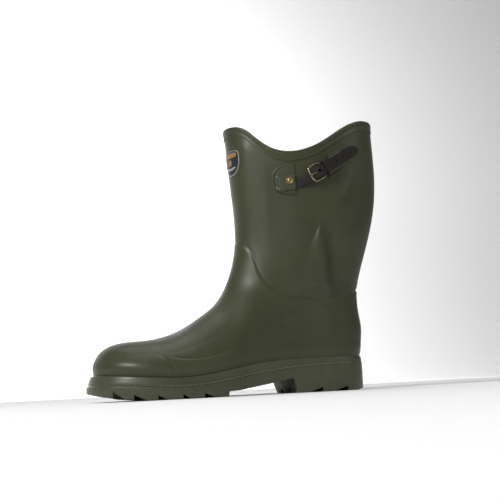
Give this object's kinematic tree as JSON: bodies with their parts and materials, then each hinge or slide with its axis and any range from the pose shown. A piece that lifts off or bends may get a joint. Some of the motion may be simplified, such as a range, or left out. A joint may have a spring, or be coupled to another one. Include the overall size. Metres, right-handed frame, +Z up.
{
  "type": "rubber boot",
  "caption": "Left rubber boot, calf-low, lined with short fleece, with a lugged sole, a dipped collar and a small buckled strap on the outer side.",
  "frame": {"origin": "centre of the bounding box in plan, at the plane the sole stands on", "axes": "-X to the toe, -Y to the outer side of a left foot, +Z up"},
  "size_m": [0.3402, 0.1124, 0.3058],
  "materials": {
    "upper_rubber": "satin, dark olive green",
    "sole_rubber": "satin, dark olive green, a little scuffed",
    "fleece": "short pile, undyed",
    "strap_leather": "dark brown, smooth",
    "buckle_metal": "worn bright brass"
  },
  "bodies": {
    "root": {"outsole": "sole_rubber", "insole": "fleece", "upper": "upper_rubber", "collar_binding": "upper_rubber", "front_patch": "upper_rubber", "rear_patch": "upper_rubber", "buckle_strap": "strap_leather", "buckle_chape": "strap_leather", "keeper": "strap_leather", "buckle": "buckle_metal", "rivet": "buckle_metal"}
  },
  "joints": []
}
